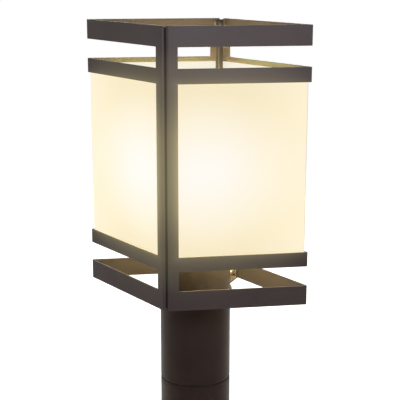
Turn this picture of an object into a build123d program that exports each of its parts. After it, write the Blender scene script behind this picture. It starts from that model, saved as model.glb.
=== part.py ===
from build123d import *
import os
from math import cos, radians, sin

os.makedirs("parts", exist_ok=True)

# Post lantern: two folded sheet frames with four glass panes, open at the top, on a post fitter.
# Millimetres, +Z up. The origin is the middle of the sleeve's lower end, where the post enters.
# The two bolted seams lie on the Y axis, front seam at -Y, and the two folded corners on the X axis.

# Post fitter
fitter_diameter = 84.0
sleeve_wall = 3.5
sleeve_height = 62.0
sleeve_edge_radius = 1.0
bead_height = 3.4
bead_groove_width = 1.0
bead_groove_depth = 0.4
reveal_height = 1.6
reveal_depth = 1.2
neck_height = 28.0
neck_clearance = 0.15
tube_length = 104.0
tube_wall = 1.8
tube_lip_radius = 1.6
cap_thickness = 2.0
cap_skirt_height = 8.0
cap_skirt_wall = 1.8

# Set screws that grip the post
set_screw_level = 15.0
set_screw_diameter = 6.0
set_screw_length = 9.0
set_screw_clearance = 0.3
set_screw_recess = 0.4
set_screw_head_diameter = 10.0
set_screw_head_height = 4.0
set_screw_head_edge = 0.8
set_screw_slot_width = 1.4
set_screw_slot_depth = 1.6
set_screw_turns = {"front": -90, "right": 30, "left": 150}

# Sheet frames
side_length = 165.0
seam_angle = 117.0
sheet = 1.6
outer_band = 22.8
band_gap = 22.8
inner_band = 16.9
window_height = 193.5
strip_width = 15.4
corner_bend_radius = 2.0
seam_bend_radius = 3.0
seam_gap = 1.4
fin_depth = 17.5
notch_width = 3.2
notch_depth = 2.8

# Seam fasteners and the gasket strip between the fins
seam_screw_diameter = 3.0
seam_screw_hole = 3.4
seam_screw_inset = 13.8
seam_screw_edge = 6.0
seam_screw_tip = 1.2
seam_head_diameter = 5.5
seam_head_height = 2.0
seam_head_edge = 0.8
seam_nut_flats = 5.5
seam_nut_height = 2.4
seam_nut_turn = 30
gasket_inset = 5.0

# Glass panes and what holds them
glass_thickness = 3.0
glass_clearance = 0.4
glass_edge_chamfer = 0.4
glass_lap_low = 7.5
glass_lap_high = 11.0
glass_fin_clearance = 1.0
glass_butt_clearance = 0.4
pad_thickness = 1.0
pad_width = 12.0
ledge_sheet = 1.0
ledge_width = 14.0
ledge_lip_height = 5.0
ledge_margin = 0.6
ledge_end_distance = 30.0
clip_sheet = 0.8
clip_width = 10.0
clip_margin = 0.6
clip_drop = 20.0
clip_clearance = 0.2

# Strap that ties the frames to the fitter
strap_width = 59.0
strap_thickness = 2.0
strap_fin_clearance = 1.2
strap_tab_height = 12.0
strap_tab_length = 15.0
stud_diameter = 4.0
stud_hole = 4.4
stud_level = 6.5
stud_tip = 1.5
strap_nut_flats = 7.0
strap_nut_height = 3.2

# Lamp holder
nipple_diameter = 10.0
nipple_bore = 7.0
nipple_tail = 6.0
nipple_nut_flats = 14.0
nipple_nut_height = 4.0
bushing_flange_diameter = 13.0
bushing_flange_height = 2.0
bushing_collar_height = 5.0
bushing_bore = 5.0
ground_screw_radius = 24.0
ground_screw_diameter = 4.0
ground_head_diameter = 8.0
ground_head_height = 3.0
cup_diameter = 84.0
cup_height = 52.0
cup_wall = 1.2
cup_rim_width = 2.0
cup_shoulder_radius = 6.0
socket_diameter = 39.0
socket_height = 44.0
socket_floor = 14.0
socket_grip = 7.0
socket_edge_radius = 2.0
lamp_cap_clearance = 0.4
shell_wall = 0.6
shell_height = 27.0
shell_lip = 4.0
shell_gap = 0.2
contact_diameter = 10.0
contact_height = 1.5
terminal_level = 7.0
terminal_head_diameter = 7.0
terminal_head_height = 2.0
terminal_recess = 2.5
terminal_recess_clearance = 0.5
terminal_shank_diameter = 3.5
terminal_shank_length = 5.0
terminal_turns = (0, 180)

# Lamp
lamp_contact_gap = 0.3
lamp_tip_diameter = 10.0
lamp_tip_height = 1.8
lamp_insulator_height = 3.7
lamp_cap_base_diameter = 22.0
lamp_cap_diameter = 26.2
lamp_cap_height = 21.5
lamp_neck_diameter = 25.6
lamp_bulb_diameter = 64.0
lamp_length = 120.0
lamp_glass_wall = 0.8

# Play between a thread or shank and the hole around it
thread_play = 0.1
# Spare depth of a cut past the surface that it opens
cut_margin = 1.0
# Largest share of a wall that a rounded edge may take
edge_share = 0.9

# Levels
fitter_radius = fitter_diameter / 2
post_radius = fitter_radius - sleeve_wall
tube_base = sleeve_height + reveal_height
tube_top = tube_base + tube_length
frame_base = tube_top + cap_thickness
frame_height = 2 * (outer_band + band_gap + inner_band) + window_height
frame_top = frame_base + frame_height
low_gap_base = frame_base + outer_band
third_band_base = low_gap_base + band_gap
window_base = third_band_base + inner_band
window_top = window_base + window_height
high_gap_base = window_top + inner_band
glass_base = window_base - glass_lap_low
glass_top = window_top + glass_lap_high
clip_level = window_top - clip_drop
strap_top = frame_base + strap_thickness
cup_top = strap_top + cup_height
lamp_base = cup_top + socket_floor + contact_height + lamp_contact_gap

# Plan of the frames, a rhombus with its wide angles at the seams
half_seam_angle = radians(seam_angle / 2)
corner_angle = radians(180 - seam_angle)
face_tilt = corner_angle / 2
half_width = side_length * sin(half_seam_angle)
half_depth = side_length * cos(half_seam_angle)
fin_face = seam_gap / 2 + sheet
fin_end = half_depth - fin_depth
seam_screw_place = half_depth - seam_screw_inset
glass_outer = sheet + glass_clearance
glass_inner = glass_outer + glass_thickness

faces = {
    "front_left": (-1, -1),
    "front_right": (1, -1),
    "back_left": (-1, 1),
    "back_right": (1, 1),
}


def face_point(side, end, along, depth):
    """Plan point of a face: along from its seam, depth inward from its outer surface."""
    x = along * cos(face_tilt) - depth * sin(face_tilt)
    y = half_depth - along * sin(face_tilt) - depth * cos(face_tilt)
    return (side * x, end * y)


def along_at(x, depth):
    """Distance along a face, from its seam, of the point with this X at this depth."""
    return (x + depth * sin(face_tilt)) / cos(face_tilt)


def corner_place(depth):
    """X of the folded corner, depth inward from the outer surface of both faces."""
    return half_width - depth / sin(face_tilt)


def inward_plane(side, end, along, depth, level):
    """Plane on a face whose normal points into the lantern."""
    x, y = face_point(side, end, along, depth)
    inward = (-side * sin(face_tilt), -end * cos(face_tilt), 0)
    return Plane(origin=(x, y, level), x_dir=(0, 0, 1), z_dir=inward)


def profile_plane(side, end, along):
    """Upright plane across a face: local X is the depth inward, local Y the level."""
    x, y = face_point(side, end, along, 0)
    inward = (-side * sin(face_tilt), -end * cos(face_tilt), 0)
    sideways = (-end * cos(face_tilt), side * sin(face_tilt), 0)
    return Plane(origin=(x, y, 0), x_dir=inward, z_dir=sideways)


def radial_plane(turn, level, radius):
    """Plane at a distance from the axis, with its normal pointing outward."""
    outward = (cos(radians(turn)), sin(radians(turn)), 0)
    origin = (radius * outward[0], radius * outward[1], level)
    return Plane(origin=origin, x_dir=(0, 0, 1), z_dir=outward)


# Sleeve that takes the post: a bead round its rim, a narrow reveal ring and a neck that plugs into the tube
neck_radius = fitter_radius - tube_wall - neck_clearance
reveal_radius = fitter_radius - reveal_depth
bead_base = sleeve_height - bead_height
with BuildPart() as fitter_sleeve:
    with BuildSketch(Plane.XZ) as sleeve_section:
        with BuildLine():
            Polyline(
                (post_radius, 0),
                (fitter_radius, 0),
                (fitter_radius, bead_base - bead_groove_width / 2),
                (fitter_radius - bead_groove_depth, bead_base),
                (fitter_radius, bead_base + bead_groove_width / 2),
                (fitter_radius, sleeve_height),
                (reveal_radius, sleeve_height),
                (reveal_radius, tube_base),
                (neck_radius, tube_base),
                (neck_radius, tube_base + neck_height),
                (post_radius, tube_base + neck_height),
                close=True,
            )
        make_face()
        sleeve_rim = sleeve_section.vertices().group_by(Axis.X)[-1].sort_by(Axis.Y)[-1]
        fillet(sleeve_rim, min(sleeve_edge_radius, edge_share * reveal_depth))
    revolve(axis=Axis.Z)
    for turn in set_screw_turns.values():
        with BuildSketch(radial_plane(turn, set_screw_level, 0)):
            Circle(set_screw_diameter / 2 + set_screw_clearance)
        extrude(amount=fitter_radius + cut_margin, mode=Mode.SUBTRACT)
fitter_sleeve.part.label = "fitter_sleeve"
export_step(fitter_sleeve.part, "parts/fitter_sleeve.step")

# Set screws through the sleeve, slotted heads outside
for name, turn in set_screw_turns.items():
    tip_radius = post_radius + set_screw_recess
    with BuildPart() as set_screw:
        with BuildSketch(radial_plane(turn, set_screw_level, tip_radius)):
            Circle(set_screw_diameter / 2)
        extrude(amount=set_screw_length)
        with BuildSketch(radial_plane(turn, set_screw_level, tip_radius + set_screw_length)):
            Circle(set_screw_head_diameter / 2)
        extrude(amount=set_screw_head_height)
        outward = Axis((0, 0, 0), (cos(radians(turn)), sin(radians(turn)), 0))
        head_rim = set_screw.edges().filter_by(GeomType.CIRCLE).sort_by(outward)[-1]
        fillet(head_rim, set_screw_head_edge)
        head_top = tip_radius + set_screw_length + set_screw_head_height
        with BuildSketch(radial_plane(turn, set_screw_level, head_top)):
            Rectangle(set_screw_slot_width, set_screw_head_diameter + cut_margin)
        extrude(amount=-set_screw_slot_depth, mode=Mode.SUBTRACT)
    set_screw.part.label = f"set_screw_{name}"
    export_step(set_screw.part, f"parts/set_screw_{name}.step")

# Fitter tube with a rounded lower lip that stands on the reveal ring
with BuildPart() as fitter_tube:
    with BuildSketch(Plane.XZ) as tube_section:
        with BuildLine():
            Polyline(
                (fitter_radius - tube_wall, tube_base),
                (fitter_radius, tube_base),
                (fitter_radius, tube_top),
                (fitter_radius - tube_wall, tube_top),
                close=True,
            )
        make_face()
        tube_lip = tube_section.vertices().group_by(Axis.X)[-1].sort_by(Axis.Y)[0]
        fillet(tube_lip, min(tube_lip_radius, edge_share * tube_wall))
    revolve(axis=Axis.Z)
fitter_tube.part.label = "fitter_tube"
export_step(fitter_tube.part, "parts/fitter_tube.step")

# Cap on the tube, with a skirt inside it and holes for the nipple and the ground screw
skirt_radius = fitter_radius - tube_wall - neck_clearance
with BuildPart() as fitter_cap:
    with BuildSketch(Plane.XZ):
        with BuildLine():
            Polyline(
                (nipple_diameter / 2 + thread_play, tube_top),
                (skirt_radius - cap_skirt_wall, tube_top),
                (skirt_radius - cap_skirt_wall, tube_top - cap_skirt_height),
                (skirt_radius, tube_top - cap_skirt_height),
                (skirt_radius, tube_top),
                (fitter_radius, tube_top),
                (fitter_radius, frame_base),
                (nipple_diameter / 2 + thread_play, frame_base),
                close=True,
            )
        make_face()
    revolve(axis=Axis.Z)
    with BuildSketch(Plane.XY.offset(tube_top)):
        with Locations((ground_screw_radius, 0)):
            Circle(ground_screw_diameter / 2 + thread_play)
    extrude(amount=cap_thickness, mode=Mode.SUBTRACT)
fitter_cap.part.label = "fitter_cap"
export_step(fitter_cap.part, "parts/fitter_cap.step")

# Ground screw under the cap
with BuildPart() as ground_screw:
    with BuildSketch(Plane.XY.offset(tube_top - ground_head_height)):
        with Locations((ground_screw_radius, 0)):
            RegularPolygon(ground_head_diameter / 2, 6, major_radius=False)
    extrude(amount=ground_head_height)
    with BuildSketch(Plane.XY.offset(tube_top)):
        with Locations((ground_screw_radius, 0)):
            Circle(ground_screw_diameter / 2)
    extrude(amount=cap_thickness)
ground_screw.part.label = "ground_screw"
export_step(ground_screw.part, "parts/ground_screw.step")

# Sheet frame: four bands folded round the corner, a strip at each seam and a fin turned inward
seam_level_low = frame_base + seam_screw_edge
seam_level_high = frame_top - seam_screw_edge
third_band_level = third_band_base + inner_band / 2
seam_stations = [
    (seam_level_low, 0),
    (third_band_level, 0),
    (clip_level, clip_sheet),
    (seam_level_high, 0),
]
open_gaps = [
    (low_gap_base, band_gap),
    (window_base, window_height),
    (high_gap_base, band_gap),
]
seam_apex = half_depth - seam_gap / 2 * cos(half_seam_angle) / sin(half_seam_angle)
with BuildPart() as right_frame:
    with BuildSketch(Plane.XY.offset(frame_base)) as leaf_plan:
        with BuildLine():
            Polyline(
                (seam_gap / 2, -seam_apex),
                (half_width, 0),
                (seam_gap / 2, seam_apex),
                close=True,
            )
        make_face()
        fillet(leaf_plan.vertices().sort_by(Axis.X)[:2], seam_bend_radius)
        fillet(leaf_plan.vertices().sort_by(Axis.X)[-1], corner_bend_radius)
        offset(amount=-sheet, mode=Mode.SUBTRACT)
    extrude(amount=frame_height)
    with BuildSketch(Plane.XY.offset(frame_base)):
        Rectangle(2 * (fin_face + cut_margin), 2 * fin_end)
    extrude(amount=frame_height, mode=Mode.SUBTRACT)
    for gap_base, gap_height in open_gaps:
        with BuildSketch(Plane.XY.offset(gap_base)):
            with BuildLine():
                Polyline(
                    face_point(1, -1, strip_width, -cut_margin),
                    (corner_place(-cut_margin), 0),
                    face_point(1, 1, strip_width, -cut_margin),
                    face_point(1, 1, strip_width, sheet + cut_margin),
                    (corner_place(sheet + cut_margin), 0),
                    face_point(1, -1, strip_width, sheet + cut_margin),
                    close=True,
                )
            make_face()
        extrude(amount=gap_height, mode=Mode.SUBTRACT)
    for edge, inward in ((frame_base, 1), (frame_top, -1)):
        with BuildSketch(Plane.XZ):
            with BuildLine():
                Polyline(
                    (0, edge),
                    (notch_width, edge),
                    (seam_gap / 2, edge + inward * notch_depth),
                    (0, edge + inward * notch_depth),
                    close=True,
                )
            make_face()
        extrude(amount=half_depth, both=True, mode=Mode.SUBTRACT)
    with BuildSketch(Plane.YZ):
        for level, _ in seam_stations:
            with Locations((-seam_screw_place, level), (seam_screw_place, level)):
                Circle(seam_screw_hole / 2)
    extrude(amount=fin_face + cut_margin, mode=Mode.SUBTRACT)
right_frame.part.label = "right_frame"
export_step(right_frame.part, "parts/right_frame.step")

with BuildPart() as left_frame:
    mirror(right_frame.part, about=Plane.YZ)
left_frame.part.label = "left_frame"
export_step(left_frame.part, "parts/left_frame.step")

# Gasket strips that close the seams between the fins
gasket_height = frame_height - 2 * notch_depth
for name, end in (("front", -1), ("back", 1)):
    gasket_start = half_depth - gasket_inset
    with BuildPart() as seam_gasket:
        with BuildSketch(Plane.YZ):
            with Locations((end * (gasket_start + fin_end) / 2, frame_base + frame_height / 2)):
                Rectangle(gasket_start - fin_end, gasket_height)
            for level, _ in seam_stations:
                with Locations((end * seam_screw_place, level)):
                    Circle(seam_screw_hole / 2, mode=Mode.SUBTRACT)
        extrude(amount=seam_gap / 2, both=True)
    seam_gasket.part.label = f"seam_gasket_{name}"
    export_step(seam_gasket.part, f"parts/seam_gasket_{name}.step")

# Screws across the seams, heads to the right
with BuildPart() as seam_screws:
    for level, packing in seam_stations:
        head_seat = fin_face + packing
        shank_end = fin_face + packing + seam_nut_height + seam_screw_tip
        for end in (-1, 1):
            with BuildSketch(Plane.YZ.offset(head_seat)):
                with Locations((end * seam_screw_place, level)):
                    Circle(seam_head_diameter / 2)
            extrude(amount=seam_head_height)
            head_rim = seam_screws.edges(Select.LAST).sort_by(Axis.X)[-1]
            fillet(head_rim, seam_head_edge)
            with BuildSketch(Plane.YZ.offset(head_seat)):
                with Locations((end * seam_screw_place, level)):
                    Circle(seam_screw_diameter / 2)
            extrude(amount=-(head_seat + shank_end))
seam_screws.part.label = "seam_screws"
export_step(seam_screws.part, "parts/seam_screws.step")

# Nuts on the left of the fins, a flat towards the glass
with BuildPart() as seam_nuts:
    for level, packing in seam_stations:
        with BuildSketch(Plane.YZ.offset(-fin_face - packing)):
            with Locations((-seam_screw_place, level), (seam_screw_place, level)):
                RegularPolygon(seam_nut_flats / 2, 6, major_radius=False, rotation=seam_nut_turn)
                Circle(seam_screw_diameter / 2 + thread_play, mode=Mode.SUBTRACT)
        extrude(amount=-seam_nut_height)
seam_nuts.part.label = "seam_nuts"
export_step(seam_nuts.part, "parts/seam_nuts.step")

# Four equal panes: the front pair reaches into the corners, the back pair butts behind it
front_corner_gap = (glass_outer + glass_inner * cos(corner_angle)) / sin(corner_angle)
back_corner_gap = (glass_inner * (1 + cos(corner_angle)) + glass_butt_clearance) / sin(corner_angle)
back_seam_gap = along_at(fin_face + glass_fin_clearance, glass_inner)
pane_length = side_length - back_corner_gap - back_seam_gap
for name, (side, end) in faces.items():
    corner_gap = front_corner_gap if end < 0 else back_corner_gap
    pane_end = side_length - corner_gap
    pane_start = pane_end - pane_length
    with BuildPart() as pane:
        with BuildSketch(Plane.XY.offset(glass_base)):
            with BuildLine():
                Polyline(
                    face_point(side, end, pane_start, glass_outer),
                    face_point(side, end, pane_end, glass_outer),
                    face_point(side, end, pane_end, glass_inner),
                    face_point(side, end, pane_start, glass_inner),
                    close=True,
                )
            make_face()
        extrude(amount=glass_top - glass_base)
        chamfer(pane.edges(), glass_edge_chamfer)
    pane.part.label = f"pane_{name}"
    export_step(pane.part, f"parts/pane_{name}.step")

# Ledges spot-welded inside the third band, two under each pane
shelf_top = glass_base - pad_thickness
shelf_base = shelf_top - ledge_sheet
lip_face = glass_inner + glass_clearance
ledge_places = (ledge_end_distance, side_length - ledge_end_distance)
with BuildPart() as glass_ledges:
    for side, end in faces.values():
        for along in ledge_places:
            with BuildSketch(profile_plane(side, end, along)):
                with BuildLine():
                    Polyline(
                        (sheet, third_band_base + ledge_margin),
                        (sheet + ledge_sheet, third_band_base + ledge_margin),
                        (sheet + ledge_sheet, shelf_base),
                        (lip_face + ledge_sheet, shelf_base),
                        (lip_face + ledge_sheet, glass_base + ledge_lip_height),
                        (lip_face, glass_base + ledge_lip_height),
                        (lip_face, shelf_top),
                        (sheet, shelf_top),
                        close=True,
                    )
                make_face()
            extrude(amount=ledge_width / 2, both=True)
glass_ledges.part.label = "glass_ledges"
export_step(glass_ledges.part, "parts/glass_ledges.step")

# Soft pads between the ledges and the glass
with BuildPart() as glass_pads:
    for side, end in faces.values():
        for along in ledge_places:
            with BuildSketch(profile_plane(side, end, along)):
                with Locations(((glass_outer + glass_inner) / 2, shelf_top + pad_thickness / 2)):
                    Rectangle(glass_thickness, pad_thickness)
            extrude(amount=pad_width / 2, both=True)
glass_pads.part.label = "glass_pads"
export_step(glass_pads.part, "parts/glass_pads.step")

# Spring clips under the third seam screws, hidden by the strips, one behind each pane
clip_face = glass_inner + clip_clearance
clip_back = clip_face + clip_sheet
clip_fin = fin_face + clip_sheet
clip_reach = strip_width - clip_margin
with BuildPart() as pane_clips:
    for side, end in faces.values():
        with BuildSketch(Plane.XY.offset(clip_level - clip_width / 2)):
            with BuildLine():
                Polyline(
                    face_point(side, end, along_at(fin_face, clip_face), clip_face),
                    (side * fin_face, end * fin_end),
                    (side * clip_fin, end * fin_end),
                    face_point(side, end, along_at(clip_fin, clip_back), clip_back),
                    face_point(side, end, clip_reach, clip_back),
                    face_point(side, end, clip_reach, clip_face),
                    close=True,
                )
            make_face()
        extrude(amount=clip_width)
    with BuildSketch(Plane.YZ):
        with Locations((-seam_screw_place, clip_level), (seam_screw_place, clip_level)):
            Circle(seam_screw_hole / 2)
    extrude(amount=clip_fin + cut_margin, both=True, mode=Mode.SUBTRACT)
pane_clips.part.label = "pane_clips"
export_step(pane_clips.part, "parts/pane_clips.step")

# Strap across the bottom from seam to seam, with tabs turned up against the bottom bands
strap_edge = along_at(strap_width / 2, sheet)
tab_start = strap_edge - strap_tab_length
tab_inner = sheet + strap_thickness
stud_along = strap_edge - strap_tab_length / 2
fin_slot = fin_face + strap_fin_clearance
slot_along = along_at(fin_slot, sheet)
with BuildPart() as base_strap:
    with BuildSketch(Plane.XY.offset(frame_base)):
        with BuildLine():
            Polyline(
                face_point(1, -1, strap_edge, sheet),
                face_point(1, 1, strap_edge, sheet),
                face_point(1, 1, slot_along, sheet),
                (fin_slot, fin_end - strap_fin_clearance),
                (-fin_slot, fin_end - strap_fin_clearance),
                face_point(-1, 1, slot_along, sheet),
                face_point(-1, 1, strap_edge, sheet),
                face_point(-1, -1, strap_edge, sheet),
                face_point(-1, -1, slot_along, sheet),
                (-fin_slot, -fin_end + strap_fin_clearance),
                (fin_slot, -fin_end + strap_fin_clearance),
                face_point(1, -1, slot_along, sheet),
                close=True,
            )
        make_face()
        Circle(nipple_diameter / 2 + thread_play, mode=Mode.SUBTRACT)
    extrude(amount=strap_thickness)
    for side, end in faces.values():
        with BuildSketch(Plane.XY.offset(frame_base)):
            with BuildLine():
                Polyline(
                    face_point(side, end, tab_start, sheet),
                    face_point(side, end, strap_edge, sheet),
                    face_point(side, end, strap_edge, tab_inner),
                    face_point(side, end, tab_start, tab_inner),
                    close=True,
                )
            make_face()
        extrude(amount=strap_tab_height)
        with BuildSketch(inward_plane(side, end, stud_along, sheet, frame_base + stud_level)):
            Circle(stud_hole / 2)
        extrude(amount=strap_thickness, mode=Mode.SUBTRACT)
base_strap.part.label = "base_strap"
export_step(base_strap.part, "parts/base_strap.step")

# Weld studs on the bottom bands, and the nuts that hold the tabs on them
stud_length = strap_thickness + strap_nut_height + stud_tip
with BuildPart() as strap_studs:
    for side, end in faces.values():
        with BuildSketch(inward_plane(side, end, stud_along, sheet, frame_base + stud_level)):
            Circle(stud_diameter / 2)
        extrude(amount=stud_length)
strap_studs.part.label = "strap_studs"
export_step(strap_studs.part, "parts/strap_studs.step")

with BuildPart() as strap_nuts:
    for side, end in faces.values():
        with BuildSketch(inward_plane(side, end, stud_along, tab_inner, frame_base + stud_level)):
            RegularPolygon(strap_nut_flats / 2, 6, major_radius=False)
            Circle(stud_diameter / 2 + thread_play, mode=Mode.SUBTRACT)
        extrude(amount=strap_nut_height)
strap_nuts.part.label = "strap_nuts"
export_step(strap_nuts.part, "parts/strap_nuts.step")

# Cup that covers the wiring on the strap, with a turned-out rim
cup_radius = cup_diameter / 2
with BuildPart() as socket_cup:
    with BuildSketch(Plane.XZ) as cup_section:
        with BuildLine():
            Polyline(
                (cup_radius - cup_wall, strap_top),
                (cup_radius + cup_rim_width, strap_top),
                (cup_radius + cup_rim_width, strap_top + cup_wall),
                (cup_radius, strap_top + cup_wall),
                (cup_radius, cup_top),
                (nipple_diameter / 2 + thread_play, cup_top),
                (nipple_diameter / 2 + thread_play, cup_top - cup_wall),
                (cup_radius - cup_wall, cup_top - cup_wall),
                close=True,
            )
        make_face()
        shoulder = cup_section.vertices().group_by(Axis.Y)[-1].sort_by(Axis.X)[-1]
        fillet(shoulder, cup_shoulder_radius)
        inner_shoulder = cup_section.vertices().group_by(Axis.Y)[-2].sort_by(Axis.X)[-1]
        fillet(inner_shoulder, cup_shoulder_radius - cup_wall)
    revolve(axis=Axis.Z)
socket_cup.part.label = "socket_cup"
export_step(socket_cup.part, "parts/socket_cup.step")

# Threaded nipple through cap, strap and cup into the socket, with its two nuts and the wire bushing
nipple_base = tube_top - nipple_nut_height - nipple_tail
with BuildPart() as nipple:
    with BuildSketch(Plane.XY.offset(nipple_base)):
        Circle(nipple_diameter / 2)
        Circle(nipple_bore / 2, mode=Mode.SUBTRACT)
    extrude(amount=cup_top + socket_grip - nipple_base)
nipple.part.label = "nipple"
export_step(nipple.part, "parts/nipple.step")

with BuildPart() as nipple_nuts:
    for level in (tube_top - nipple_nut_height, strap_top):
        with BuildSketch(Plane.XY.offset(level)):
            RegularPolygon(nipple_nut_flats / 2, 6, major_radius=False)
            Circle(nipple_diameter / 2 + thread_play, mode=Mode.SUBTRACT)
        extrude(amount=nipple_nut_height)
nipple_nuts.part.label = "nipple_nuts"
export_step(nipple_nuts.part, "parts/nipple_nuts.step")

with BuildPart() as wire_bushing:
    with BuildSketch(Plane.XY.offset(nipple_base - bushing_flange_height)):
        Circle(bushing_flange_diameter / 2)
        Circle(bushing_bore / 2, mode=Mode.SUBTRACT)
    extrude(amount=bushing_flange_height)
    with BuildSketch(Plane.XY.offset(nipple_base)):
        Circle(nipple_bore / 2 - thread_play)
        Circle(bushing_bore / 2, mode=Mode.SUBTRACT)
    extrude(amount=bushing_collar_height)
wire_bushing.part.label = "wire_bushing"
export_step(wire_bushing.part, "parts/wire_bushing.step")

# Porcelain socket on the cup
socket_top = cup_top + socket_height
well_floor = cup_top + socket_floor
shell_radius = lamp_cap_diameter / 2 + lamp_cap_clearance
well_radius = shell_radius + shell_wall + shell_gap
terminal_seat = socket_diameter / 2 - terminal_recess
with BuildPart() as socket_body:
    with BuildSketch(Plane.XZ) as socket_section:
        with BuildLine():
            Polyline(
                (nipple_diameter / 2 + thread_play, cup_top),
                (socket_diameter / 2, cup_top),
                (socket_diameter / 2, socket_top),
                (well_radius, socket_top),
                (well_radius, well_floor),
                (0, well_floor),
                (0, cup_top + socket_grip),
                (nipple_diameter / 2 + thread_play, cup_top + socket_grip),
                close=True,
            )
        make_face()
        rim_corners = socket_section.vertices().group_by(Axis.X)[-1]
        fillet(rim_corners, socket_edge_radius)
    revolve(axis=Axis.Z)
    for turn in terminal_turns:
        with BuildSketch(radial_plane(turn, cup_top + terminal_level, terminal_seat)):
            Circle(terminal_head_diameter / 2 + terminal_recess_clearance)
        extrude(amount=terminal_recess + cut_margin, mode=Mode.SUBTRACT)
        with BuildSketch(radial_plane(turn, cup_top + terminal_level, terminal_seat)):
            Circle(terminal_shank_diameter / 2 + thread_play)
        extrude(amount=-terminal_shank_length - thread_play, mode=Mode.SUBTRACT)
socket_body.part.label = "socket_body"
export_step(socket_body.part, "parts/socket_body.step")

with BuildPart() as terminal_screws:
    for turn in terminal_turns:
        with BuildSketch(radial_plane(turn, cup_top + terminal_level, terminal_seat)):
            Circle(terminal_head_diameter / 2)
        extrude(amount=terminal_head_height)
        with BuildSketch(radial_plane(turn, cup_top + terminal_level, terminal_seat)):
            Circle(terminal_shank_diameter / 2)
        extrude(amount=-terminal_shank_length)
terminal_screws.part.label = "terminal_screws"
export_step(terminal_screws.part, "parts/terminal_screws.step")

# Screw shell and centre contact in the socket
shell_outer = shell_radius + shell_wall
with BuildPart() as socket_shell:
    with BuildSketch(Plane.XZ):
        with BuildLine():
            Polyline(
                (shell_radius - shell_lip, well_floor),
                (shell_outer, well_floor),
                (shell_outer, well_floor + shell_height),
                (shell_radius, well_floor + shell_height),
                (shell_radius, well_floor + shell_wall),
                (shell_radius - shell_lip, well_floor + shell_wall),
                close=True,
            )
        make_face()
    revolve(axis=Axis.Z)
socket_shell.part.label = "socket_shell"
export_step(socket_shell.part, "parts/socket_shell.step")

with BuildPart() as socket_contact:
    with BuildSketch(Plane.XY.offset(well_floor)):
        Circle(contact_diameter / 2)
    extrude(amount=contact_height)
    fillet(socket_contact.edges().group_by(Axis.Z)[-1], contact_height / 2)
socket_contact.part.label = "socket_contact"
export_step(socket_contact.part, "parts/socket_contact.step")

# Lamp: tip, insulator, screw cap and frosted bulb
insulator_base = lamp_base + lamp_tip_height
lamp_cap_base = insulator_base + lamp_insulator_height
neck_base = lamp_cap_base + lamp_cap_height
bulb_radius = lamp_bulb_diameter / 2
bulb_level = lamp_base + lamp_length - bulb_radius
with BuildPart() as lamp_tip:
    with BuildSketch(Plane.XY.offset(lamp_base)):
        Circle(lamp_tip_diameter / 2)
    extrude(amount=lamp_tip_height)
    fillet(lamp_tip.edges().group_by(Axis.Z)[0], lamp_tip_height / 2)
lamp_tip.part.label = "lamp_tip"
export_step(lamp_tip.part, "parts/lamp_tip.step")

with BuildPart() as lamp_insulator:
    with BuildSketch(Plane.XY.offset(insulator_base)):
        Circle(lamp_tip_diameter / 2)
    with BuildSketch(Plane.XY.offset(lamp_cap_base)):
        Circle(lamp_cap_base_diameter / 2)
    loft()
lamp_insulator.part.label = "lamp_insulator"
export_step(lamp_insulator.part, "parts/lamp_insulator.step")

with BuildPart() as lamp_cap:
    with BuildSketch(Plane.XY.offset(lamp_cap_base)):
        Circle(lamp_cap_diameter / 2)
    extrude(amount=lamp_cap_height)
    chamfer(lamp_cap.edges().group_by(Axis.Z)[0], (lamp_cap_diameter - lamp_cap_base_diameter) / 2)
lamp_cap.part.label = "lamp_cap"
export_step(lamp_cap.part, "parts/lamp_cap.step")


def bulb_outline(inset):
    """Half outline of the bulb, inset from the glass's outer surface, down to the cap."""
    crown = RadiusArc(
        (0, bulb_level + bulb_radius - inset),
        (bulb_radius - inset, bulb_level),
        bulb_radius - inset,
    )
    Spline(
        crown @ 1,
        (lamp_neck_diameter / 2 - inset, neck_base),
        tangents=[(0, -1), (0, -1)],
    )


with BuildPart() as lamp_bulb:
    with BuildSketch(Plane.XZ):
        with BuildLine() as outer_outline:
            bulb_outline(0)
            Line((lamp_neck_diameter / 2, neck_base), (0, neck_base))
            Line((0, neck_base), (0, bulb_level + bulb_radius))
        make_face()
    revolve(axis=Axis.Z)
    with BuildSketch(Plane.XZ):
        with BuildLine() as inner_outline:
            bulb_outline(lamp_glass_wall)
            inner_neck = lamp_neck_diameter / 2 - lamp_glass_wall
            Line((inner_neck, neck_base), (0, neck_base))
            Line((0, neck_base), (0, bulb_level + bulb_radius - lamp_glass_wall))
        make_face()
    revolve(axis=Axis.Z, mode=Mode.SUBTRACT)
lamp_bulb.part.label = "lamp_bulb"
export_step(lamp_bulb.part, "parts/lamp_bulb.step")

print(f"frame from {frame_base:.1f} to {frame_top:.1f}, {2 * half_width:.1f} wide, {2 * half_depth:.1f} deep")
print(f"panes {pane_length:.1f} by {glass_top - glass_base:.1f}, bulb centre at {bulb_level:.1f}")
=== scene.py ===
# %% [markdown]
# A lit post lantern. Two folded sheets of bronze painted metal hold four panes of frosted glass, open at
# the top, on a round fitter that slips over a post. The solids come at their real size from the packed
# frame, so this lesson gives them their finishes, remodels the small turned and threaded pieces that
# the solids leave plain, and lights the whole in a white studio.

# %% Load the frame
from math import atan, cos, degrees, pi, radians, sin

import bpy
from mathutils import Matrix, Quaternion, Vector


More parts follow.
